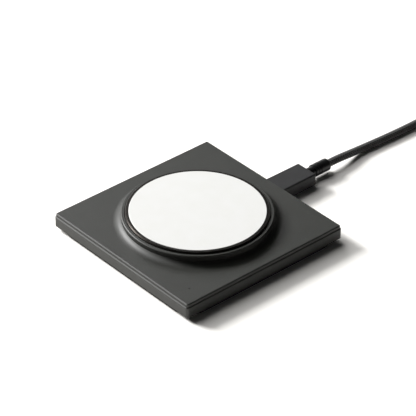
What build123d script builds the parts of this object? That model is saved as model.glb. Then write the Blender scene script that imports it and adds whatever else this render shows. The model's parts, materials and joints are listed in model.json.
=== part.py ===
"""Wireless charging pad with a magnetic puck face and a detachable braided USB-C cable.

Millimetres, +Z up. The origin is on the table under the middle of the pad, +X points out of
the cable port and +Y is to the left of the port, seen from above.
"""

import os
from math import cos, pi, radians, sin, tan

from build123d import *

os.makedirs("parts", exist_ok=True)

# ---- pad outside ----
body_side = 82.8  # base tray, square
body_corner_r = 1.2
plate_ledge = 0.4  # step in from the tray's edge to the top plate's edge
plate_corner_r = 0.8
edge_chamfer = 0.35
tray_h = 5.0
plate_t = 1.35
foot_t = 1.35
foot_inset = 0.8
foot_corner_r = 9.0
foot_edge_chamfer = 0.3
foot_glue_t = 0.15
foot_glue_inset = 1.5
grip_groove_w = 1.2  # shallow rings moulded in the foot's underside
grip_groove_depth = 0.3
grip_groove_pitch = 5.0
grip_groove_count = 6
grip_groove_first_r = 8.0

# ---- puck ----
face_d = 56.0  # white contact face
face_t = 1.2
face_lip_t = 0.4  # lower flange, held under the ring's lip
face_lip_w = 0.6
face_edge_r = 0.25
face_gap = 0.15
face_proud = 0.15  # face above the ring
face_glue_t = 0.15
ring_w = 1.35
ring_skirt_t = 0.6
ring_skirt_h = 3.8
ring_lip_t = 0.55
ring_chamfer = 0.4
ring_proud = 0.7  # ring above the boss
ring_gap = 0.25  # groove between the ring and the boss
boss_rise = 3.8
boss_land = 1.05
boss_chamfer = 0.3
flare_run = 3.2  # concave sweep from the boss's wall out to the flat plate
flare_rise = 1.6
shelf_w = 3.75
shelf_t = 0.8
puck_glue_t = 0.15
carrier_floor_t = 0.8
carrier_fit = 0.05
magnet_ring_id = 46.0
magnet_ring_od = 54.0
magnet_t = 2.2
magnet_count = 18
magnet_split = 0.4
magnet_fit = 0.15
yoke_t = 0.5
ferrite_t = 1.6
ferrite_fit = 0.3
hub_d = 8.4
hub_fit = 0.3
coil_turns = 10
coil_turn_pitch = 1.05
coil_wire_d = 1.12
coil_inner_r = 10.6
lead_d = 0.9
lead_spacing = 2.4
lead_slot_l = 2.8
lead_slot_w = 4.4
sensor_size = (2.0, 1.25, 0.6)
sensor_gap = 0.05
sensor_bore_d = 1.4
sensor_wire_d = 0.3
sensor_wire_spacing = 0.8
face_glue_inset = 0.4
coil_gap = 0.05

# ---- tray ----
wall_t = 1.6
tray_floor_t = 1.0
tray_inner_r = 0.8
lip_t = 1.0  # locating lip under the top plate
lip_h = 1.0
lip_fit = 0.1
screw_x = 24.0  # case screws, at plus and minus this
screw_edge = 5.0  # case screws, in from the tray's edge along Y
case_post_d = 4.8
case_joint_h = 1.2  # height of the tray's screw posts over its floor
screw_d = 2.0
screw_fit = 0.05
screw_pass_fit = 0.2
screw_seat = 1.25  # depth of the counterbore from the tray's underside
screw_l = 4.0
screw_end_gap = 0.2
screw_head_d = 3.8
screw_head_t = 1.1
screw_head_fit = 0.2
socket_af = 1.3
socket_depth = 0.6

# ---- circuit board ----
board_l = 60.6
board_w = 48.0
board_t = 0.8
board_wall_gap = 0.9
board_corner_r = 1.0
board_post_h = 0.7
board_post_d = 3.6
board_screw_d = 1.4
board_screw_l = 2.0
board_screw_end_gap = 0.1
board_hole_fit = 0.15
board_screw_head_d = 2.8
board_screw_head_t = 0.7
board_screw_inset = 2.6
socket_head_af = 0.9
notch_fit = 0.1
inductor_size = (6.6, 6.6, 2.0)
controller_size = (6.0, 6.0, 0.85)
power_chip_size = (4.0, 4.0, 0.75)
switch_size = (3.3, 3.3, 0.9)
switch_pitch = 4.6
tuning_cap_size = (3.2, 1.6, 1.6)
tuning_cap_pitch = 3.2
filter_cap_size = (2.0, 1.25, 1.25)
filter_cap_pitch = (3.0, 2.6)
crystal_size = (3.2, 2.5, 0.7)
thermal_pad_size = (18.0, 18.0)
inductor_at = (9.0, 11.0)
controller_at = (8.0, -8.0)
power_chip_at = (26.0, -14.0)
crystal_at = (0.0, -8.0)
switch_first_at = (-7.0, 7.0)
filter_first_at = (19.0, 13.0)
tuning_x = 25.5

# ---- status light ----
light_at = (-33.4, -33.4)
light_hole_d = 1.0
light_pipe_d = 0.9
light_flange_d = 2.6
light_flange_t = 0.5
light_pipe_below = 0.1  # top of the light pipe under the plate's surface
light_board_size = (7.0, 6.0)
light_post_size = (5.0, 4.0)
led_size = (1.6, 0.8, 0.6)
led_gap = 0.1
ribbon_w = 3.0
ribbon_t = 0.2
ribbon_y = -17.5
ribbon_overlap = 0.8
ribbon_socket_size = (4.0, 5.0)
ribbon_socket_cover = 0.7  # socket above the ribbon

# ---- USB-C port ----
port_y = -0.6
port_z = 3.6
port_shell_w = 8.94
port_shell_h = 3.16
port_mouth_w = 8.34
port_mouth_h = 2.56
port_l = 7.3
port_recess = 0.4  # mouth behind the tray's outer wall
port_fit = 0.1
port_back_t = 1.0
tongue_w = 6.69
tongue_t = 0.7
tongue_l = 4.9
contact_count = 12
contact_pitch = 0.5
contact_w = 0.25
contact_t = 0.03
contact_l = 3.4
tail_l = 1.3
tail_t = 0.15
wing_l = 1.1
wing_w = 1.3
wing_t = 0.3
wing_inset = 1.6

# ---- cable plug ----
plug_gap = 0.2  # overmould to the tray's wall
plug_shell_w = 8.25
plug_shell_h = 2.4
plug_shell_wall = 0.3
plug_shell_l = 6.65
plug_shell_root = 4.0  # length held in the overmould
plug_core_fit = 0.05
plug_core_setback = 0.3
plug_slot_w = 6.9
plug_slot_t = 0.95
plug_slot_l = 4.85
plug_contact_t = 0.07
plug_contact_l = 3.8
overmould_w = 11.3
overmould_h = 5.75
overmould_l = 18.6
overmould_taper = 0.98  # size of the cable end over the size of the front
overmould_corner_r = 0.7
overmould_edge_r = 0.5
card_w = 7.0
card_t = 0.8
card_l = 10.0
relief_d = 5.5
relief_l = 11.6
relief_neck_d = 4.6
relief_neck_l = 3.4
relief_groove_w = 0.4
relief_groove_depth = 0.3
relief_groove_at = (4.6, 6.0)
relief_end_r = 0.6

# ---- cable ----
cord_d = 3.4
cord_pitch = 3.45
cord_layers = 4
coil_track_in = 14.8  # innermost turn, to the cord's centre
coil_track_out = 28.6  # outermost turn
coil_at = (147.0, -26.15)
coil_edge_r = 1.5
strap_t = 0.6
strap_w = 6.0
strap_slack = 0.4  # on the inner side of the coil
strap_angle = -40.0
strap_corner_r = 2.0
far_tail_l = 20.0
cord_low = 1.72  # cord's centre where it lies on the table

# ---- heights ----
z_tray = foot_t + foot_glue_t
z_floor = z_tray + tray_floor_t
z_rim = z_tray + tray_h
z_plate = z_rim + plate_t
z_boss = z_plate + boss_rise
z_ring = z_boss + ring_proud
z_face = z_ring + face_proud
z_shelf = z_rim + shelf_t
z_carrier = z_shelf + puck_glue_t
z_cup = z_carrier + carrier_floor_t
z_face_low = z_face - face_t
z_carrier_top = z_face_low - face_glue_t
z_joint = z_floor + case_joint_h
z_seat = z_tray + screw_seat
z_coil_low = z_cup + ferrite_t + coil_gap
z_skirt = z_ring - ring_lip_t - ring_skirt_h
z_hub = z_carrier_top - sensor_size[2] - sensor_gap
z_light = z_rim - light_flange_t - led_gap - led_size[2]
z_board = z_floor + board_post_h
z_board_top = z_board + board_t

# ---- plan sizes ----
body_half = body_side / 2
plate_side = body_side - 2 * plate_ledge
inner_half = body_half - wall_t
face_r = face_d / 2
ring_in_r = face_r + face_gap
ring_r = ring_in_r + ring_w
bore_r = ring_r + ring_gap
boss_r = bore_r + boss_land
boss_wall_r = boss_r + boss_chamfer
toe_r = boss_wall_r + flare_run
shelf_r = bore_r - shelf_w
skirt_in_r = ring_r - ring_skirt_t
carrier_r = skirt_in_r - carrier_fit
magnet_in_r = magnet_ring_id / 2
magnet_out_r = magnet_ring_od / 2
cup_r = magnet_in_r - 2 * ferrite_fit
ferrite_r = cup_r - ferrite_fit
coil_mean_r = coil_inner_r + coil_turns * coil_turn_pitch / 2
lead_x = coil_inner_r + (coil_turns - 0.5) * coil_turn_pitch
screw_y = body_half - screw_edge
board_x1 = inner_half - board_wall_gap
board_x0 = board_x1 - board_l
board_mid_x = (board_x0 + board_x1) / 2
port_x1 = body_half - port_recess
port_x0 = port_x1 - port_l
plug_x = body_half + plug_gap


def write(piece, name):
    """Labels one finished piece and writes its STEP file."""
    piece.part.label = name
    export_step(piece.part, f"parts/{name}.step")


def ring_between(inner_r, outer_r, z, height):
    """A plain flat ring about the pad's axis."""
    with BuildPart() as ring:
        with BuildSketch(Plane.XY.offset(z)):
            Circle(outer_r)
            Circle(inner_r, mode=Mode.SUBTRACT)
        extrude(amount=height)
    return ring


# ================= foot =================
with BuildPart() as foot_pad:
    foot_side = body_side - 2 * foot_inset
    with BuildSketch():
        RectangleRounded(foot_side, foot_side, foot_corner_r)
    extrude(amount=foot_t)
    chamfer(foot_pad.edges().group_by(Axis.Z)[0], foot_edge_chamfer)
    with BuildSketch():
        for k in range(grip_groove_count):
            groove_r = grip_groove_first_r + k * grip_groove_pitch
            Circle(groove_r + grip_groove_w)
            Circle(groove_r, mode=Mode.SUBTRACT)
    extrude(amount=grip_groove_depth, mode=Mode.SUBTRACT)
write(foot_pad, "foot_pad")

with BuildPart() as foot_adhesive:
    glue_side = foot_side - 2 * foot_glue_inset
    with BuildSketch(Plane.XY.offset(foot_t)):
        RectangleRounded(glue_side, glue_side, foot_corner_r - foot_glue_inset)
    extrude(amount=foot_glue_t)
write(foot_adhesive, "foot_adhesive")


# ================= base tray =================
case_screw_points = [(sx * screw_x, sy * screw_y) for sx in (-1, 1) for sy in (-1, 1)]
board_screw_points = [
    (x, sy * (board_w / 2 - board_screw_inset))
    for x in (board_x0 + board_screw_inset, board_x1 - board_screw_inset)
    for sy in (-1, 1)
]
z_light_board = z_light - board_t


def port_plane(x):
    """A plane across the port's axis, with its X along the pad's Y and its Y up."""
    return Plane(origin=(x, port_y, port_z), x_dir=(0, 1, 0), z_dir=(1, 0, 0))


with BuildPart() as base_tray:
    with BuildSketch(Plane.XY.offset(z_tray)):
        RectangleRounded(body_side, body_side, body_corner_r)
    extrude(amount=tray_h)
    level_edges = base_tray.edges().group_by(Axis.Z)
    chamfer(level_edges[0] + level_edges[-1], edge_chamfer)
    # hollow
    with BuildSketch(Plane.XY.offset(z_floor)):
        RectangleRounded(2 * inner_half, 2 * inner_half, tray_inner_r)
    extrude(amount=tray_h, mode=Mode.SUBTRACT)
    # posts for the case screws, the circuit board and the light board
    with BuildSketch(Plane.XY.offset(z_floor)):
        with Locations(*case_screw_points):
            Circle(case_post_d / 2)
    extrude(amount=case_joint_h)
    with BuildSketch(Plane.XY.offset(z_floor)):
        with Locations(*board_screw_points):
            Circle(board_post_d / 2)
    extrude(amount=board_post_h)
    with BuildSketch(Plane.XY.offset(z_floor)):
        with Locations(light_at):
            Rectangle(*light_post_size)
    extrude(amount=z_light_board - z_floor)
    # counterbored holes for the case screws, from below
    with BuildSketch(Plane.XY.offset(z_tray)):
        with Locations(*case_screw_points):
            Circle(screw_d / 2 + screw_pass_fit)
    extrude(amount=z_joint - z_tray, mode=Mode.SUBTRACT)
    with BuildSketch(Plane.XY.offset(z_tray)):
        with Locations(*case_screw_points):
            Circle(screw_head_d / 2 + screw_head_fit)
    extrude(amount=screw_seat, mode=Mode.SUBTRACT)
    # blind holes for the board screws
    with BuildSketch(Plane.XY.offset(z_board)):
        with Locations(*board_screw_points):
            Circle(board_screw_d / 2 + screw_fit)
    extrude(amount=-(board_screw_l - board_t + board_screw_end_gap), mode=Mode.SUBTRACT)
    # port opening, and room under the receptacle
    with BuildSketch(port_plane(inner_half - wall_t)):
        SlotOverall(port_shell_w + 2 * port_fit, port_shell_h + 2 * port_fit)
    extrude(amount=3 * wall_t, mode=Mode.SUBTRACT)
    pocket_z = port_z - port_shell_h / 2 - port_fit
    with BuildSketch(Plane.XY.offset(pocket_z)):
        with Locations(((port_x0 + inner_half) / 2, port_y)):
            Rectangle(inner_half - port_x0, port_shell_w)
    extrude(amount=z_floor - pocket_z, mode=Mode.SUBTRACT)
write(base_tray, "base_tray")


# ================= top plate =================
with BuildPart() as top_plate:
    with BuildSketch(Plane.XY.offset(z_rim)):
        RectangleRounded(plate_side, plate_side, plate_corner_r)
        Circle(toe_r, mode=Mode.SUBTRACT)
    extrude(amount=plate_t)
    top_face = top_plate.faces().sort_by(Axis.Z)[-1]
    chamfer(top_face.outer_wire().edges(), edge_chamfer)
    # flared boss with a stepped bore
    with BuildSketch(Plane.XZ):
        with BuildLine():
            flare_end = (boss_wall_r, z_plate + flare_rise)
            Polyline(
                (toe_r, z_plate),
                (toe_r, z_rim),
                (shelf_r, z_rim),
                (shelf_r, z_shelf),
                (bore_r, z_shelf),
                (bore_r, z_boss),
                (boss_r, z_boss),
                (boss_wall_r, z_boss - boss_chamfer),
                flare_end,
            )
            TangentArc((toe_r, z_plate), flare_end, tangent=(-1, 0))
        make_face()
    revolve(axis=Axis.Z)
    # locating lip and screw posts
    with BuildSketch(Plane.XY.offset(z_rim - lip_h)):
        lip_side = 2 * (inner_half - lip_fit)
        RectangleRounded(lip_side, lip_side, tray_inner_r)
        Rectangle(lip_side - 2 * lip_t, lip_side - 2 * lip_t, mode=Mode.SUBTRACT)
    extrude(amount=lip_h)
    with BuildSketch(Plane.XY.offset(z_joint)):
        with Locations(*case_screw_points):
            Circle(case_post_d / 2)
    extrude(amount=z_rim - z_joint)
    with BuildSketch(Plane.XY.offset(z_joint)):
        with Locations(*case_screw_points):
            Circle(screw_d / 2 + screw_fit)
    extrude(amount=z_seat + screw_l + screw_end_gap - z_joint, mode=Mode.SUBTRACT)
    with BuildSketch(Plane.XY.offset(z_rim)):
        with Locations(light_at):
            Circle(light_hole_d / 2)
    extrude(amount=plate_t, mode=Mode.SUBTRACT)
write(top_plate, "top_plate")

with BuildPart() as case_screws:
    with BuildSketch(Plane.XY.offset(z_seat - screw_head_t)):
        with Locations(*case_screw_points):
            Circle(screw_head_d / 2)
    extrude(amount=screw_head_t)
    with BuildSketch(Plane.XY.offset(z_seat)):
        with Locations(*case_screw_points):
            Circle(screw_d / 2)
    extrude(amount=screw_l)
    with BuildSketch(Plane.XY.offset(z_seat - screw_head_t)):
        with Locations(*case_screw_points):
            RegularPolygon(socket_af / 2, 6, major_radius=False)
    extrude(amount=socket_depth, mode=Mode.SUBTRACT)
write(case_screws, "case_screws")


# ================= puck =================
with BuildPart() as puck_ring:
    with BuildSketch(Plane.XZ):
        with BuildLine():
            Polyline(
                (skirt_in_r, z_skirt),
                (ring_r, z_skirt),
                (ring_r, z_ring - ring_chamfer),
                (ring_r - ring_chamfer, z_ring),
                (ring_in_r, z_ring),
                (ring_in_r, z_ring - ring_lip_t),
                (skirt_in_r, z_ring - ring_lip_t),
                close=True,
            )
        make_face()
    revolve(axis=Axis.Z)
write(puck_ring, "puck_ring")

with BuildPart() as puck_face:
    with BuildSketch(Plane.XY.offset(z_face_low)):
        Circle(face_r + face_lip_w)
    extrude(amount=face_lip_t)
    with BuildSketch(Plane.XY.offset(z_face_low)):
        Circle(face_r)
    extrude(amount=face_t)
    fillet(puck_face.edges().group_by(Axis.Z)[-1], face_edge_r)
write(puck_face, "puck_face")

with BuildPart() as face_adhesive:
    with BuildSketch(Plane.XY.offset(z_carrier_top)):
        Circle(face_r - face_glue_inset)
    extrude(amount=face_glue_t)
write(face_adhesive, "face_adhesive")

with BuildPart() as puck_carrier:
    with BuildSketch(Plane.XY.offset(z_carrier)):
        Circle(carrier_r)
    extrude(amount=z_carrier_top - z_carrier)
    with BuildSketch(Plane.XY.offset(z_cup)):
        Circle(magnet_out_r + magnet_fit)
        Circle(magnet_in_r - magnet_fit, mode=Mode.SUBTRACT)
        Circle(cup_r)
    extrude(amount=z_carrier_top - z_cup, mode=Mode.SUBTRACT)
    with BuildSketch(Plane.XY.offset(z_cup)):
        Circle(hub_d / 2)
    extrude(amount=z_hub - z_cup)
    with BuildSketch(Plane.XY.offset(z_carrier)):
        Circle(sensor_bore_d / 2)
        with Locations((lead_x, 0)):
            Rectangle(lead_slot_l, lead_slot_w)
    extrude(amount=z_hub - z_carrier, mode=Mode.SUBTRACT)
write(puck_carrier, "puck_carrier")

puck_adhesive = ring_between(shelf_r, carrier_r, z_shelf, puck_glue_t)
write(puck_adhesive, "puck_adhesive")

magnet_yoke = ring_between(magnet_in_r, magnet_out_r, z_cup, yoke_t)
write(magnet_yoke, "magnet_yoke")

with BuildPart() as magnets:
    with BuildSketch(Plane.XY.offset(z_cup + yoke_t)):
        Circle(magnet_out_r)
        Circle(magnet_in_r, mode=Mode.SUBTRACT)
        with PolarLocations((magnet_in_r + magnet_out_r) / 2, magnet_count):
            Rectangle(2 * (magnet_out_r - magnet_in_r), magnet_split, mode=Mode.SUBTRACT)
    extrude(amount=magnet_t)
write(magnets, "magnets")

with BuildPart() as ferrite_disc:
    with BuildSketch(Plane.XY.offset(z_cup)):
        Circle(ferrite_r)
        Circle(hub_d / 2 + hub_fit, mode=Mode.SUBTRACT)
        with Locations((lead_x - lead_slot_l / 2 + ferrite_r / 2, 0)):
            Rectangle(ferrite_r, lead_slot_w, mode=Mode.SUBTRACT)
    extrude(amount=ferrite_t)
write(ferrite_disc, "ferrite_disc")

with BuildPart() as charging_coil:
    with BuildSketch(Plane.XZ):
        with Locations((coil_mean_r, z_coil_low + coil_wire_d / 2)):
            with GridLocations(coil_turn_pitch, 1, coil_turns, 1):
                Circle(coil_wire_d / 2)
    revolve(axis=Axis.Z)
write(charging_coil, "charging_coil")

with BuildPart() as coil_leads:
    with BuildSketch(Plane.XY.offset(z_board_top)):
        with Locations((lead_x, 0)):
            with GridLocations(1, lead_spacing, 1, 2):
                Circle(lead_d / 2)
    extrude(amount=z_coil_low - z_board_top)
write(coil_leads, "coil_leads")

with BuildPart() as coil_sensor:
    with BuildSketch(Plane.XY.offset(z_hub)):
        Rectangle(sensor_size[0], sensor_size[1])
    extrude(amount=sensor_size[2])
write(coil_sensor, "coil_sensor")

with BuildPart() as sensor_wires:
    with BuildSketch(Plane.XY.offset(z_board_top)):
        with GridLocations(sensor_wire_spacing, 1, 2, 1):
            Circle(sensor_wire_d / 2)
    extrude(amount=z_hub - z_board_top)
write(sensor_wires, "sensor_wires")


# ================= circuit board =================
def chips(size, points, name):
    """Writes a group of equal box-shaped parts that stand on the board at these points."""
    with BuildPart() as group:
        with BuildSketch(Plane.XY.offset(z_board_top)):
            with Locations(*points):
                Rectangle(size[0], size[1])
        extrude(amount=size[2])
    write(group, name)


with BuildPart() as circuit_board:
    with BuildSketch(Plane.XY.offset(z_board)):
        with Locations((board_mid_x, 0)):
            RectangleRounded(board_l, board_w, board_corner_r)
        with Locations(((port_x0 + board_x1) / 2, port_y)):
            notch_l = board_x1 - port_x0 + 2 * notch_fit
            Rectangle(notch_l, port_shell_w + 2 * notch_fit, mode=Mode.SUBTRACT)
        with Locations(*board_screw_points):
            Circle(board_screw_d / 2 + board_hole_fit, mode=Mode.SUBTRACT)
    extrude(amount=board_t)
write(circuit_board, "circuit_board")

with BuildPart() as board_screws:
    with BuildSketch(Plane.XY.offset(z_board_top)):
        with Locations(*board_screw_points):
            Circle(board_screw_head_d / 2)
    extrude(amount=board_screw_head_t)
    with BuildSketch(Plane.XY.offset(z_board_top)):
        with Locations(*board_screw_points):
            Circle(board_screw_d / 2)
    extrude(amount=-board_screw_l)
    with BuildSketch(Plane.XY.offset(z_board_top + board_screw_head_t)):
        with Locations(*board_screw_points):
            RegularPolygon(socket_head_af / 2, 6, major_radius=False)
    extrude(amount=-board_screw_head_t / 2, mode=Mode.SUBTRACT)
write(board_screws, "board_screws")

switch_points = [
    (switch_first_at[0] + i * switch_pitch, switch_first_at[1] + j * switch_pitch)
    for i in range(2)
    for j in range(2)
]
tuning_points = [(tuning_x, (k - 1.5) * tuning_cap_pitch) for k in range(4)]
filter_points = [
    (filter_first_at[0] + i * filter_cap_pitch[0], filter_first_at[1] + j * filter_cap_pitch[1])
    for i in range(3)
    for j in range(2)
]
chips(inductor_size, [inductor_at], "power_inductor")
chips(controller_size, [controller_at], "charge_controller")
chips(power_chip_size, [power_chip_at], "usb_power_chip")
chips(switch_size, switch_points, "power_switches")
chips(tuning_cap_size, tuning_points, "tuning_capacitors")
chips(filter_cap_size, filter_points, "filter_capacitors")
chips(crystal_size, [crystal_at], "clock_crystal")

with BuildPart() as thermal_pad:
    with BuildSketch(Plane.XY.offset(z_floor)):
        with Locations(switch_points[2]):
            Rectangle(*thermal_pad_size)
    extrude(amount=board_post_h)
write(thermal_pad, "thermal_pad")


# ================= status light =================
with BuildPart() as light_pipe:
    with BuildSketch(Plane.XY.offset(z_rim - light_flange_t)):
        with Locations(light_at):
            Circle(light_flange_d / 2)
    extrude(amount=light_flange_t)
    with BuildSketch(Plane.XY.offset(z_rim)):
        with Locations(light_at):
            Circle(light_pipe_d / 2)
    extrude(amount=plate_t - light_pipe_below)
write(light_pipe, "light_pipe")

with BuildPart() as status_led:
    with BuildSketch(Plane.XY.offset(z_light)):
        with Locations(light_at):
            Rectangle(led_size[0], led_size[1])
    extrude(amount=led_size[2])
write(status_led, "status_led")

with BuildPart() as light_board:
    with BuildSketch(Plane.XY.offset(z_light_board)):
        with Locations(light_at):
            Rectangle(*light_board_size)
    extrude(amount=board_t)
write(light_board, "light_board")

ribbon_z = z_light_board - ribbon_t
ribbon_start_y = light_at[1] + light_board_size[1] / 2 - ribbon_overlap
socket_x = board_x0 + ribbon_socket_size[0]
with BuildPart() as light_ribbon:
    with BuildSketch(Plane.XY.offset(ribbon_z)):
        with BuildLine():
            Polyline(
                (light_at[0], ribbon_start_y),
                (light_at[0], ribbon_y),
                (socket_x, ribbon_y),
            )
        trace(line_width=ribbon_w)
    extrude(amount=ribbon_t)
write(light_ribbon, "light_ribbon")

with BuildPart() as ribbon_socket:
    with BuildSketch(Plane.XY.offset(z_board_top)):
        with Locations((socket_x, ribbon_y)):
            Rectangle(*ribbon_socket_size)
    extrude(amount=ribbon_z + ribbon_t + ribbon_socket_cover - z_board_top)
    with BuildSketch(Plane.XY.offset(ribbon_z)):
        with Locations((socket_x - ribbon_socket_size[0] / 2, ribbon_y)):
            Rectangle(ribbon_socket_size[0], ribbon_w)
    extrude(amount=ribbon_t, mode=Mode.SUBTRACT)
write(ribbon_socket, "ribbon_socket")


# ================= USB-C receptacle =================
with BuildPart() as port_shell:
    with BuildSketch(port_plane(port_x0)):
        SlotOverall(port_shell_w, port_shell_h)
        SlotOverall(port_mouth_w, port_mouth_h, mode=Mode.SUBTRACT)
    extrude(amount=port_l)
    # mounting wings that stand on the board, two on each side
    with BuildSketch(Plane.XY.offset(z_board_top)):
        with Locations((port_x0 + wing_inset, port_y), (board_x1 - wing_inset, port_y)):
            Rectangle(wing_w, port_shell_w + 2 * wing_l)
            Rectangle(wing_w, port_mouth_w, mode=Mode.SUBTRACT)
    extrude(amount=wing_t)
write(port_shell, "port_shell")

with BuildPart() as port_tongue:
    with BuildSketch(port_plane(port_x0)):
        SlotOverall(port_mouth_w, port_mouth_h)
    extrude(amount=port_back_t)
    with BuildSketch(port_plane(port_x0 + port_back_t)):
        Rectangle(tongue_w, tongue_t)
    extrude(amount=tongue_l)
write(port_tongue, "port_tongue")

with BuildPart() as port_contacts:
    for side in (-1, 1):
        with BuildSketch(port_plane(port_x0 + port_back_t)):
            with Locations((0, side * (tongue_t + contact_t) / 2)):
                with GridLocations(contact_pitch, 1, contact_count, 1):
                    Rectangle(contact_w, contact_t)
        extrude(amount=contact_l)
    with BuildSketch(Plane.XY.offset(z_board_top)):
        with Locations((port_x0 - tail_l / 2, port_y)):
            with GridLocations(1, contact_pitch, 1, contact_count):
                Rectangle(tail_l, contact_w)
    extrude(amount=tail_t)
write(port_contacts, "port_contacts")


# ================= cable plugs =================
def plug_set(prefix, at):
    """Writes the pieces of one plug. Point at is the middle of its overmould's front face."""
    front = Plane(origin=at, x_dir=(0, 1, 0), z_dir=(-1, 0, 0))
    inside_w = plug_shell_w - 2 * plug_shell_wall
    inside_h = plug_shell_h - 2 * plug_shell_wall
    core_front = plug_shell_l - plug_core_setback

    with BuildPart() as shell:
        with BuildSketch(front.offset(-plug_shell_root)):
            SlotOverall(plug_shell_w, plug_shell_h)
            SlotOverall(inside_w, inside_h, mode=Mode.SUBTRACT)
        extrude(amount=plug_shell_root + plug_shell_l)
    write(shell, f"{prefix}_shell")

    with BuildPart() as core:
        with BuildSketch(front.offset(-plug_shell_root)):
            SlotOverall(inside_w - 2 * plug_core_fit, inside_h - 2 * plug_core_fit)
        extrude(amount=plug_shell_root + core_front)
        with BuildSketch(front.offset(core_front)):
            Rectangle(plug_slot_w, plug_slot_t)
        extrude(amount=-plug_slot_l, mode=Mode.SUBTRACT)
    write(core, f"{prefix}_core")

    with BuildPart() as contacts:
        for side in (-1, 1):
            with BuildSketch(front.offset(core_front - plug_slot_l)):
                with Locations((0, side * (plug_slot_t - plug_contact_t) / 2)):
                    with GridLocations(contact_pitch, 1, contact_count, 1):
                        Rectangle(contact_w, plug_contact_t)
            extrude(amount=plug_contact_l)
    write(contacts, f"{prefix}_contacts")

    with BuildPart() as card:
        with BuildSketch(front.offset(-plug_shell_root)):
            Rectangle(card_w, card_t)
        extrude(amount=-card_l)
    write(card, f"{prefix}_card")

    with BuildPart() as overmould:
        with BuildSketch(front):
            RectangleRounded(overmould_w, overmould_h, overmould_corner_r)
        with BuildSketch(front.offset(-overmould_l)):
            RectangleRounded(
                overmould_w * overmould_taper,
                overmould_h * overmould_taper,
                overmould_corner_r * overmould_taper,
            )
        loft()
        end_faces = overmould.faces().sort_by(Axis.X)
        fillet(end_faces[0].edges() + end_faces[-1].edges(), overmould_edge_r)
        with BuildSketch(front):
            SlotOverall(plug_shell_w, plug_shell_h)
        extrude(amount=-plug_shell_root, mode=Mode.SUBTRACT)
        with BuildSketch(front.offset(-plug_shell_root)):
            Rectangle(card_w, card_t)
        extrude(amount=-card_l, mode=Mode.SUBTRACT)
    write(overmould, f"{prefix}_overmould")

    with BuildPart() as relief:
        with BuildSketch(front.offset(-overmould_l)):
            Circle(relief_d / 2)
        extrude(amount=-relief_l)
        fillet(relief.edges().group_by(Axis.X)[-1], relief_end_r)
        with BuildSketch(front.offset(-overmould_l)):
            Circle(relief_d / 2)
            Circle(relief_neck_d / 2, mode=Mode.SUBTRACT)
        extrude(amount=-relief_neck_l, mode=Mode.SUBTRACT)
        for groove_at in relief_groove_at:
            with BuildSketch(front.offset(-overmould_l - groove_at)):
                Circle(relief_d / 2)
                Circle(relief_d / 2 - relief_groove_depth, mode=Mode.SUBTRACT)
            extrude(amount=-relief_groove_w, mode=Mode.SUBTRACT)
    write(relief, f"{prefix}_relief")


coil_x, coil_y = coil_at
plug_length = overmould_l + relief_l
far_plug_at = (coil_x - far_tail_l - plug_length, coil_y - coil_track_out, overmould_h / 2)
plug_set("plug", (plug_x, port_y, port_z))
plug_set("far_plug", far_plug_at)


# ================= cable =================
# The cord runs from the strain relief down to the table and into its coil, and its tail runs
# from the coil to the far plug. No three points in a row lie on one line.
cord_points = [
    (plug_x + plug_length, port_y, port_z),
    (77.5, -0.6, 3.6),
    (84.0, -0.25, 2.85),
    (91.0, 0.25, 1.95),
    (99.0, -0.1, 1.75),
    (112.0, -0.8, cord_low),
    (129.5, -1.0, cord_low),
    (coil_x, -0.95, cord_low),
]
tail_points = [
    (coil_x, coil_y - coil_track_out, cord_low),
    (coil_x - 6.0, coil_y - coil_track_out, 1.78),
    (coil_x - 13.5, coil_y - coil_track_out, overmould_h / 2),
    (coil_x - far_tail_l, coil_y - coil_track_out, overmould_h / 2),
]
coil_in_r = coil_track_in - cord_d / 2
coil_out_r = coil_track_out + cord_d / 2
coil_h = cord_layers * cord_pitch + strap_t

# The strap goes round the coil's section and passes under it.
strap_dir = Vector(cos(radians(strap_angle)), sin(radians(strap_angle)), 0)
strap_in_r = coil_in_r - strap_slack
strap_mid = Vector(coil_x, coil_y, (coil_h + strap_t) / 2) + strap_dir * (strap_in_r + coil_out_r) / 2
with BuildPart() as cable_strap:
    across = Plane(origin=strap_mid, x_dir=strap_dir, z_dir=(strap_dir.Y, -strap_dir.X, 0))
    strap_span = coil_out_r - strap_in_r
    with BuildSketch(across):
        RectangleRounded(strap_span + 2 * strap_t, coil_h + strap_t, strap_corner_r)
        RectangleRounded(
            strap_span, coil_h - strap_t, strap_corner_r - strap_t, mode=Mode.SUBTRACT
        )
    extrude(amount=strap_w / 2, both=True)
write(cable_strap, "cable_strap")

with BuildPart() as cable_coil:
    with BuildSketch():
        with Locations(coil_at):
            Circle(coil_out_r)
            Circle(coil_in_r, mode=Mode.SUBTRACT)
    extrude(amount=coil_h)
    level_edges = cable_coil.edges().group_by(Axis.Z)
    fillet(level_edges[0] + level_edges[-1], coil_edge_r)
    add(cable_strap.part, mode=Mode.SUBTRACT)
write(cable_coil, "cable_coil")


def bend_radii(points):
    """For each inner point, 0.45 of its shorter run over the tangent of half the turn."""
    radii = []
    for before, here, after in zip(points, points[1:], points[2:]):
        run_in = Vector(*here) - Vector(*before)
        run_out = Vector(*after) - Vector(*here)
        half_turn = radians(run_in.get_angle(run_out)) / 2
        radii.append(0.45 * min(run_in.length, run_out.length) / tan(half_turn))
    return radii


def cord_tube(points, name):
    """A tube of straight runs and tangent arcs, cut where it enters the coil."""
    radii = bend_radii(points)
    with BuildPart() as tube:
        with BuildLine() as route:
            FilletPolyline(*points, radius=radii)
        with BuildSketch(Plane(origin=points[0], z_dir=route.line % 0)):
            Circle(cord_d / 2)
        sweep()
        length = route.wires()[0].length
        fill = tube.part.volume / (pi * cord_d**2 / 4 * length)
        add(cable_coil.part, mode=Mode.SUBTRACT)
    print(name, "length", round(length, 2), "volume / (section * length)", round(fill, 5))
    print(name, "radii", [round(r, 1) for r in radii])
    write(tube, name)


cord_tube(cord_points, "cable_tube")
cord_tube(tail_points, "cable_tail")
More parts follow.
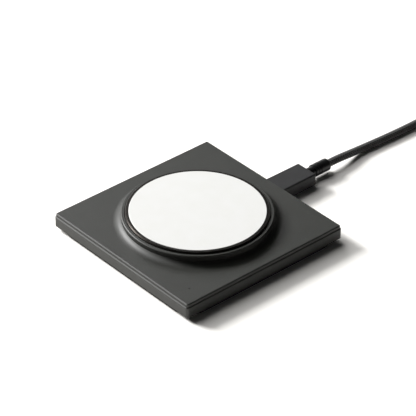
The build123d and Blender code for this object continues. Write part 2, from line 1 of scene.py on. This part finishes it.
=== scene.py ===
"""Wireless charging pad with a magnetic puck and its braided USB-C cable.

Metres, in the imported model's frame. Sizes written in millimetres are turned to metres by MM.
"""

import json
from math import cos, pi, radians, sin

import bmesh
import bpy
from mathutils import Matrix, Vector


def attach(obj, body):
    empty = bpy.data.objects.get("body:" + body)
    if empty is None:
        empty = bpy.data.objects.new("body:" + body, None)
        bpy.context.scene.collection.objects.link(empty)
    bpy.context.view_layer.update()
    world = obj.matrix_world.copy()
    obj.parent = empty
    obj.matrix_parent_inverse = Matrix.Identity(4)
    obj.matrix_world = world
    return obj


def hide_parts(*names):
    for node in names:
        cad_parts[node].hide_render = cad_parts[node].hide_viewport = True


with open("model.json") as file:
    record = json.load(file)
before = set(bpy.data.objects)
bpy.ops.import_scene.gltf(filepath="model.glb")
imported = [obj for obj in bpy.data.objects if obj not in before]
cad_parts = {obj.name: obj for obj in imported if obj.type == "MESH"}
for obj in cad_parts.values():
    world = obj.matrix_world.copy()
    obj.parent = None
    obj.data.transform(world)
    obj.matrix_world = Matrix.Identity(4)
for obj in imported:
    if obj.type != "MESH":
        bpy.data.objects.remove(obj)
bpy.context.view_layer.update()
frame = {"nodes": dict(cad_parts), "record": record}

MM = 0.001
nodes = frame["nodes"]
slot_of = {part["node"]: part["material_slot"] for part in frame["record"]["subparts"]}


def add_to_scene(name, data):
    """Puts new data into the scene as an object of this name."""
    made = bpy.data.objects.new(name, data)
    bpy.context.collection.objects.link(made)
    return made


# ================= camera =================
view_target = Vector((8.362, 3.208, 7.85)) * MM
view_distance = 1014.4 * MM
view_azimuth = radians(-41.486)
view_elevation = radians(34.851)
view_roll = radians(0.3935)
lens_mm = 215.35
sensor_mm = 36.0
clip_near = 0.01
clip_far = 20.0


def make_camera():
    """The camera looks down at the pad from the corner between its plain sides."""
    back = Vector((
        sin(view_azimuth) * cos(view_elevation),
        -cos(view_azimuth) * cos(view_elevation),
        sin(view_elevation),
    ))
    level = Vector((cos(view_azimuth), sin(view_azimuth), 0.0))
    upright = back.cross(level)
    right = level * cos(view_roll) + upright * sin(view_roll)
    up = upright * cos(view_roll) - level * sin(view_roll)
    data = bpy.data.cameras.new("camera")
    data.lens = lens_mm
    data.sensor_width = sensor_mm
    data.clip_start = clip_near
    data.clip_end = clip_far
    camera = add_to_scene("camera", data)
    place = Matrix((right, up, back)).transposed().to_4x4()
    place.translation = view_target + back * view_distance
    camera.matrix_world = place
    bpy.context.scene.camera = camera


make_camera()


# ================= materials =================
tint_from = 0.3  # below this share of a pattern the darker tint shows alone
tint_to = 0.7  # and above this share the lighter one
roughness_spread = 0.05  # a grained surface's roughness goes this far up and down
mottle_grains = 14  # its colour changes over this many grains
ring_pitch_mm = 0.12  # turning marks on the puck's ring
braid_pitch = 1.3 * MM
braid_yarns = 8
fleck_scale = 1.6
braid_depth_mm = 0.16


def linear(hex_colour):
    """An sRGB hex colour as the linear colour and alpha that a shader takes."""
    channels = []
    for k in (1, 3, 5):
        c = int(hex_colour[k : k + 2], 16) / 255
        channels.append(c / 12.92 if c <= 0.04045 else ((c + 0.055) / 1.055) ** 2.4)
    return (*channels, 1.0)


def add_node(tree, kind, settings=None, links=None):
    """Adds a node. Settings are its properties or its sockets' values, and links join sockets to it."""
    node = tree.nodes.new(kind)
    for key, value in (settings or {}).items():
        if isinstance(key, int) or key in node.inputs:
            node.inputs[key].default_value = value
        else:
            setattr(node, key, value)
    for key, socket in (links or {}).items():
        tree.links.new(socket, node.inputs[key])
    return node


def new_finish(name, settings):
    """A new material, its node tree and its shader, with the settings that hold all over it."""
    material = bpy.data.materials.new(name)
    material.use_nodes = True
    tree = material.node_tree
    shader = tree.nodes["Principled BSDF"]
    for key, value in settings.items():
        shader.inputs[key].default_value = value
    return material, tree, shader


def place_on_piece(tree):
    """Object coordinates, in metres from the shared origin."""
    return add_node(tree, "ShaderNodeTexCoord").outputs["Object"]


def grain(tree, size_mm, place):
    """Random mottling whose lumps are about this many millimetres across."""
    scale = 1 / (size_mm * MM)
    noise = add_node(tree, "ShaderNodeTexNoise", {"Scale": scale, "Detail": 2.0}, {"Vector": place})
    return noise.outputs["Fac"]


def blend_colours(tree, amount, dark, light):
    """A colour between two hex colours, by a socket from 0 to 1."""
    ramp = add_node(tree, "ShaderNodeValToRGB", links={"Fac": amount})
    stops = ((tint_from, dark), (tint_to, light))
    for element, (position, tint) in zip(ramp.color_ramp.elements, stops):
        element.position = position
        element.color = linear(tint)
    return ramp.outputs["Color"]


def spread_values(tree, amount, low, high):
    """A number between low and high, by a socket from 0 to 1."""
    ends = {"To Min": low, "To Max": high}
    return add_node(tree, "ShaderNodeMapRange", ends, {"Value": amount}).outputs["Result"]


def raise_surface(tree, shader, height, depth_mm):
    """Bump from a height of 0 to 1 that stands for this many millimetres."""
    size = {"Strength": 1.0, "Distance": depth_mm * MM}
    bump = add_node(tree, "ShaderNodeBump", size, {"Height": height})
    tree.links.new(bump.outputs["Normal"], shader.inputs["Normal"])


def grained_finish(name, dark, light, roughness, grain_mm, depth_mm, **settings):
    """A material with mottled colour and roughness and a fine grain that stands up from it.

    Most of the real surfaces have a grain under 0.1 mm across, too fine to show, so every grain
    size given below is drawn coarser than it is.
    """
    material, tree, shader = new_finish(name, {k.replace("_", " "): v for k, v in settings.items()})
    place = place_on_piece(tree)
    fine = grain(tree, grain_mm, place)
    broad = grain(tree, mottle_grains * grain_mm, place)
    tree.links.new(blend_colours(tree, broad, dark, light), shader.inputs["Base Color"])
    rough = spread_values(tree, fine, roughness - roughness_spread, roughness + roughness_spread)
    tree.links.new(rough, shader.inputs["Roughness"])
    raise_surface(tree, shader, fine, depth_mm)
    return material


def painted_case():
    """Bead-blasted aluminium with thin dark paint: an even satin grey, with a fine sparkle of grain.

    The real blasting is about 0.1 mm across. It is drawn at 0.45 mm so that it shows.
    """
    return grained_finish(
        "blasted_painted_aluminium", "#1c1d19", "#20211d", 0.54, 0.45, 0.004, IOR=1.6
    )


def turned_ring():
    """Anodised aluminium, turned on a lathe: fine rings round the puck catch the light.

    Real turning marks are about 0.05 mm apart. They are drawn at ring_pitch_mm so that they show.
    """
    material, tree, shader = new_finish("turned_anodised_aluminium", {"Metallic": 1.0})
    flat = add_node(
        tree, "ShaderNodeVectorMath", {"operation": "MULTIPLY", 1: (1, 1, 0)}, {0: place_on_piece(tree)}
    )
    radius = add_node(
        tree, "ShaderNodeVectorMath", {"operation": "LENGTH"}, {0: flat.outputs["Vector"]}
    )
    marks = {"noise_dimensions": "1D", "Scale": 1 / (ring_pitch_mm * MM), "Detail": 1.0}
    rings = add_node(
        tree, "ShaderNodeTexNoise", marks, {"W": radius.outputs["Value"]}
    ).outputs["Fac"]
    tree.links.new(blend_colours(tree, rings, "#262422", "#312e2b"), shader.inputs["Base Color"])
    tree.links.new(spread_values(tree, rings, 0.28, 0.42), shader.inputs["Roughness"])
    raise_surface(tree, shader, rings, 0.004)
    return material


def white_face():
    """Moulded silicone rubber: matte white, with a very fine texture and a faint soft gloss."""
    return grained_finish("white_silicone", "#c9c9c6", "#cbcbc9", 0.62, 0.5, 0.003, IOR=1.41)


def foot_rubber():
    """Moulded silicone rubber, black and matte."""
    return grained_finish("black_silicone", "#0d0d0d", "#131313", 0.7, 0.4, 0.01, IOR=1.41)


def plug_moulding():
    """Polycarbonate moulded in a spark-eroded tool: charcoal, satin, with a fine even texture.

    The real texture is about 0.05 mm across. It is drawn at 0.35 mm so that it shows.
    """
    return grained_finish(
        "charcoal_polycarbonate", "#1b1b1c", "#1f1f20", 0.56, 0.35, 0.006, IOR=1.5
    )


def relief_rubber():
    """Thermoplastic elastomer: black and a little glossier than the plug."""
    return grained_finish("black_elastomer", "#0f0f10", "#161617", 0.38, 0.3, 0.004, IOR=1.5)


def braid():
    """Woven polyester yarn over the cable: two sets of yarns cross on the slant, one over the other.

    The yarns of one set lie 1.33 mm apart round the cable, and 1.3 mm apart along it.
    """
    material, tree, shader = new_finish(
        "braided_polyester", {"Roughness": 0.72, "Sheen Weight": 0.25}
    )
    unwrapped = add_node(tree, "ShaderNodeUVMap", {"uv_map": "UVMap"}).outputs["UV"]
    split = add_node(tree, "ShaderNodeSeparateXYZ", links={"Vector": unwrapped})

    def reckon(operation, first, second=None):
        """The socket that joins a socket with another socket, or with a number."""
        settings, links = {"operation": operation}, {0: first}
        if isinstance(second, float):
            settings[1] = second
        elif second is not None:
            links[1] = second
        return add_node(tree, "ShaderNodeMath", settings, links).outputs[0]

    along = reckon("DIVIDE", split.outputs["X"], braid_pitch)
    around = reckon("MULTIPLY", split.outputs["Y"], float(braid_yarns))

    def yarns(join):
        """Rounded yarns of one set: the sum or difference of the two directions, as a wave."""
        wave = reckon("SINE", reckon("MULTIPLY", reckon(join, around, along), 2 * pi))
        rise = {"From Min": -1.0, "To Min": 0.0, "To Max": 1.0}
        return add_node(tree, "ShaderNodeMapRange", rise, {"Value": wave}).outputs["Result"]

    height = reckon("MAXIMUM", yarns("ADD"), yarns("SUBTRACT"))
    stretched = add_node(
        tree, "ShaderNodeMapping", {"Scale": (1 / braid_pitch, braid_yarns, 1)}, {"Vector": unwrapped}
    ).outputs["Vector"]
    flecks = add_node(
        tree, "ShaderNodeTexNoise", {"Scale": fleck_scale, "Detail": 2.0}, {"Vector": stretched}
    )
    # The colour is darker where the yarns dip: this is painted shade in the grooves between the yarns.
    # The noise flecks are the yarn's real lighter strands.
    groove_shade_and_flecks = reckon("MULTIPLY", height, flecks.outputs["Fac"])
    tree.links.new(blend_colours(tree, groove_shade_and_flecks, "#0a0a0b", "#4a4846"), shader.inputs["Base Color"])
    raise_surface(tree, shader, height, braid_depth_mm)
    return material


# Inner pieces: what each is made of, its two tints, roughness, grain and relief in millimetres.
finish_of_slot = {
    "adhesive": ("acrylic_tape", "#c9c3b2", "#d3cdbd", 0.6, 0.8, 0.005, {}),
    "screw_steel": ("zinc_plated_steel", "#8f9093", "#a3a4a6", 0.32, 0.3, 0.003, {"Metallic": 1.0}),
    "carrier_plastic": ("black_polycarbonate", "#141415", "#1b1b1c", 0.5, 0.5, 0.006, {}),
    "yoke_steel": ("cold_rolled_steel", "#83837f", "#979793", 0.35, 0.6, 0.003, {"Metallic": 1.0}),
    "magnet_nickel": ("nickel_plate", "#b3b0a6", "#c4c1b7", 0.18, 0.8, 0.002, {"Metallic": 1.0}),
    "ferrite": ("sintered_ferrite", "#1f1f22", "#2a2a2d", 0.66, 0.4, 0.012, {}),
    "copper_wire": ("enamelled_copper", "#b5622f", "#c87740", 0.28, 0.4, 0.003, {"Metallic": 1.0}),
    "chip_black": ("black_epoxy", "#121213", "#19191a", 0.6, 0.2, 0.006, {}),
    "board_laminate": ("glass_epoxy_board", "#0f3b22", "#14492b", 0.4, 0.6, 0.006, {}),
    "capacitor_ceramic": ("fired_ceramic", "#8b6f55", "#9b7e62", 0.5, 0.2, 0.004, {}),
    "crystal_can": ("nickel_silver_can", "#a6a5a1", "#b9b8b3", 0.25, 0.3, 0.002, {"Metallic": 1.0}),
    "thermal_silicone": ("silicone_gap_filler", "#6d7f96", "#788aa1", 0.75, 0.6, 0.02, {}),
    "light_acrylic": ("smoked_acrylic", "#050505", "#090909", 0.45, 0.5, 0.001, {}),
    "led_lens": ("clear_epoxy_lens", "#ded9b4", "#ebe6c4", 0.12, 0.2, 0.001, {}),
    "ribbon_film": ("polyimide_film", "#7d3a0c", "#924814", 0.25, 0.8, 0.002, {}),
    "socket_plastic": ("liquid_crystal_polymer", "#101011", "#171718", 0.55, 0.3, 0.005, {}),
    "port_steel": (
        "nickel_plated_stainless_steel", "#a3a29e", "#b6b5b0", 0.26, 0.5, 0.003, {"Metallic": 1.0}
    ),
    "contact_gold": ("gold_plate", "#d8a849", "#e5b85c", 0.22, 0.2, 0.001, {"Metallic": 1.0}),
    "strap_fabric": ("nylon_hook_and_loop", "#0e0e0f", "#1c1c1d", 0.9, 0.35, 0.06, {"Sheen_Weight": 0.4}),
}
finishes = {
    name: grained_finish(made_of, dark, light, rough, size, depth, **extra)
    for name, (made_of, dark, light, rough, size, depth, extra) in finish_of_slot.items()
}
finishes |= {
    "case_metal": painted_case(),
    "ring_aluminium": turned_ring(),
    "face_silicone": white_face(),
    "foot_silicone": foot_rubber(),
    "plug_plastic": plug_moulding(),
    "relief_rubber": relief_rubber(),
    "cable_braid": braid(),
}


def finish_nodes():
    """Every CAD node takes the finish that its material slot names."""
    for name, node in nodes.items():
        for place in node.material_slots:
            place.material = finishes[slot_of[name]]


finish_nodes()


# ================= cable =================
cord_d = 3.4 * MM
cord_pitch = 3.45 * MM  # from one turn to the next, and from one layer to the next
cord_low = 1.72 * MM
track_in = 14.8 * MM
track_out = 28.6 * MM
coil_x = 147.0 * MM
coil_y = -26.15 * MM
points_per_turn = 16
coil_turns = 10.5
layer_turns = 3
layer_ends = (layer_turns, 2 * layer_turns, 3 * layer_turns)
lift_turns = 1 / 3  # the cable climbs to the next layer over this much of a turn
out_turn = 9.75  # where the winding has reached its outer track
drop_turns = 0.7  # and it comes down to the table over this much of a turn
tail_y = coil_y - track_out
plug_half_h = 2.875 * MM
steps_between_points = 12  # along the cable
quarter_steps = 6  # round each quarter of it

# Metres: from the relief's end down to the floor and up to the coil, then from the coil to the far plug.
cord_points = [
    (0.0718, -0.0006, 0.0036),
    (0.0775, -0.0006, 0.0036),
    (0.0840, -0.00025, 0.00285),
    (0.0910, 0.00025, 0.00195),
    (0.0990, -0.0001, 0.00175),
    (0.1120, -0.0008, 0.00172),
    (0.1295, -0.0010, 0.00172),
]
tail_points = [
    (coil_x - 0.0060, tail_y, 0.00178),
    (coil_x - 0.0135, tail_y, plug_half_h),
    (coil_x - 0.0200, tail_y, plug_half_h),
]


def smooth_step(x):
    """0 before 0, 1 after 1, and a smooth rise between them."""
    x = min(max(x, 0.0), 1.0)
    return x * x * (3 - 2 * x)


def coil_radius(turn):
    """The wound cable's distance from the coil's middle, after this many turns."""
    first, second, third = layer_ends
    entry_r = track_in + layer_turns * cord_pitch
    if turn < first:
        return entry_r - cord_pitch * turn
    if turn < second:
        return track_in + cord_pitch * (turn - first)
    if turn < third:
        return entry_r - cord_pitch * (turn - second)
    return track_in + (track_out - track_in) * smooth_step((turn - third) / (out_turn - third))


def coil_height(turn):
    """Each layer climbs one pitch as the winding turns back, and the last turn comes down outside."""
    climb = sum(smooth_step((turn - back + lift_turns / 2) / lift_turns) for back in layer_ends)
    lie = cord_low + cord_pitch * climb
    return lie + (cord_low - lie) * smooth_step((turn - out_turn) / drop_turns)


def coil_points():
    """The put-away length: turns that lie beside and on each other, wound clockwise from above."""
    points = []
    inside = (1 + cos(pi / points_per_turn)) / 2  # the line passes inside its points
    for k in range(int(coil_turns * points_per_turn) + 1):
        turn = k / points_per_turn
        angle = pi / 2 - 2 * pi * turn
        r = coil_radius(turn) / inside
        points.append((coil_x + r * cos(angle), coil_y + r * sin(angle), coil_height(turn)))
    return points


def make_route(points, width=0.0):
    """One smooth open line through the cable's points, bare or as thick as the cable."""
    data = bpy.data.curves.new("cable_route", "CURVE")
    data.dimensions = "3D"
    data.resolution_u = steps_between_points
    data.bevel_depth = width / 2
    data.bevel_resolution = quarter_steps
    line = data.splines.new("NURBS")
    line.points.add(len(points) - 1)
    for point, place in zip(line.points, points):
        point.co = (*place, 1.0)
    line.order_u = 3
    line.use_endpoint_u = True
    return bpy.data.objects.new("cable_route", data)


def mesh_of(route):
    """A new mesh of the route's line or tube."""
    bpy.context.collection.objects.link(route)
    shape = route.evaluated_get(bpy.context.evaluated_depsgraph_get())
    mesh = bpy.data.meshes.new_from_object(shape)
    bpy.data.objects.remove(route)
    return mesh


def unwrap_by_length(tube, path):
    """Sets U to the metres along the path, and leaves V to go once round the cable."""
    measured = [0.0]
    for a, b in zip(path, path[1:]):
        measured.append(measured[-1] + (b - a).length)
    sides = len(tube.vertices) // len(path)
    sheet = tube.uv_layers.active.data
    for loop in tube.loops:
        sheet[loop.index].uv.x = measured[loop.vertex_index // sides]


def make_cable():
    """The braided cable, from the plug's relief to its coil and on to the far plug."""
    points = cord_points + coil_points() + tail_points
    path = [v.co.copy() for v in mesh_of(make_route(points)).vertices]
    tube = mesh_of(make_route(points, cord_d))
    unwrap_by_length(tube, path)
    tube.materials.clear()
    tube.materials.append(finishes["cable_braid"])
    cable = add_to_scene("usb_cable", tube)
    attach(cable, "cable")
    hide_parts("cable_tube", "cable_coil", "cable_tail")


make_cable()


# ================= floor and light =================
floor_half = 4.0
sky_strength = 0.02


def make_floor():
    """Flat pale paper, level with the foot's underside."""
    mesh = bpy.data.meshes.new("floor")
    shape = bmesh.new()
    bmesh.ops.create_grid(shape, x_segments=1, y_segments=1, size=floor_half)
    shape.to_mesh(mesh)
    shape.free()
    paper = grained_finish("white_paper", "#f7f5f1", "#f9f7f3", 0.9, 2.0, 0.0, IOR=1.3)
    mesh.materials.append(paper)
    add_to_scene("floor", mesh)


def soft_light(name, place, size, watts):
    """A square softbox that faces the pad."""
    data = bpy.data.lights.new(name, "AREA")
    data.shape = "SQUARE"
    data.size = size
    data.energy = watts
    light = add_to_scene(name, data)
    light.location = place
    light.rotation_mode = "QUATERNION"
    light.rotation_quaternion = Vector(place).to_track_quat("Z", "Y")
    return light


def light_the_studio():
    """A key softbox behind the pad, a weak one to its right, a wide fill over both, and a faint sky."""
    soft_light("key_light", (-0.7, 2.0, 1.2), 0.7, 110.0)
    soft_light("side_light", (0.9, 1.9, 1.1), 0.8, 12.0)
    fill = soft_light("fill_light", (-0.4, 1.8, 2.0), 2.4, 65.0)
    fill.visible_glossy = False  # it softens the shadows, with no gleam of its own on the case
    world = bpy.data.worlds.new("studio")
    bpy.context.scene.world = world
    world.use_nodes = True
    sky = world.node_tree.nodes["Background"]
    sky.inputs["Color"].default_value = (1, 1, 1, 1)
    sky.inputs["Strength"].default_value = sky_strength
    bpy.context.scene.view_settings.view_transform = "Standard"


make_floor()
light_the_studio()
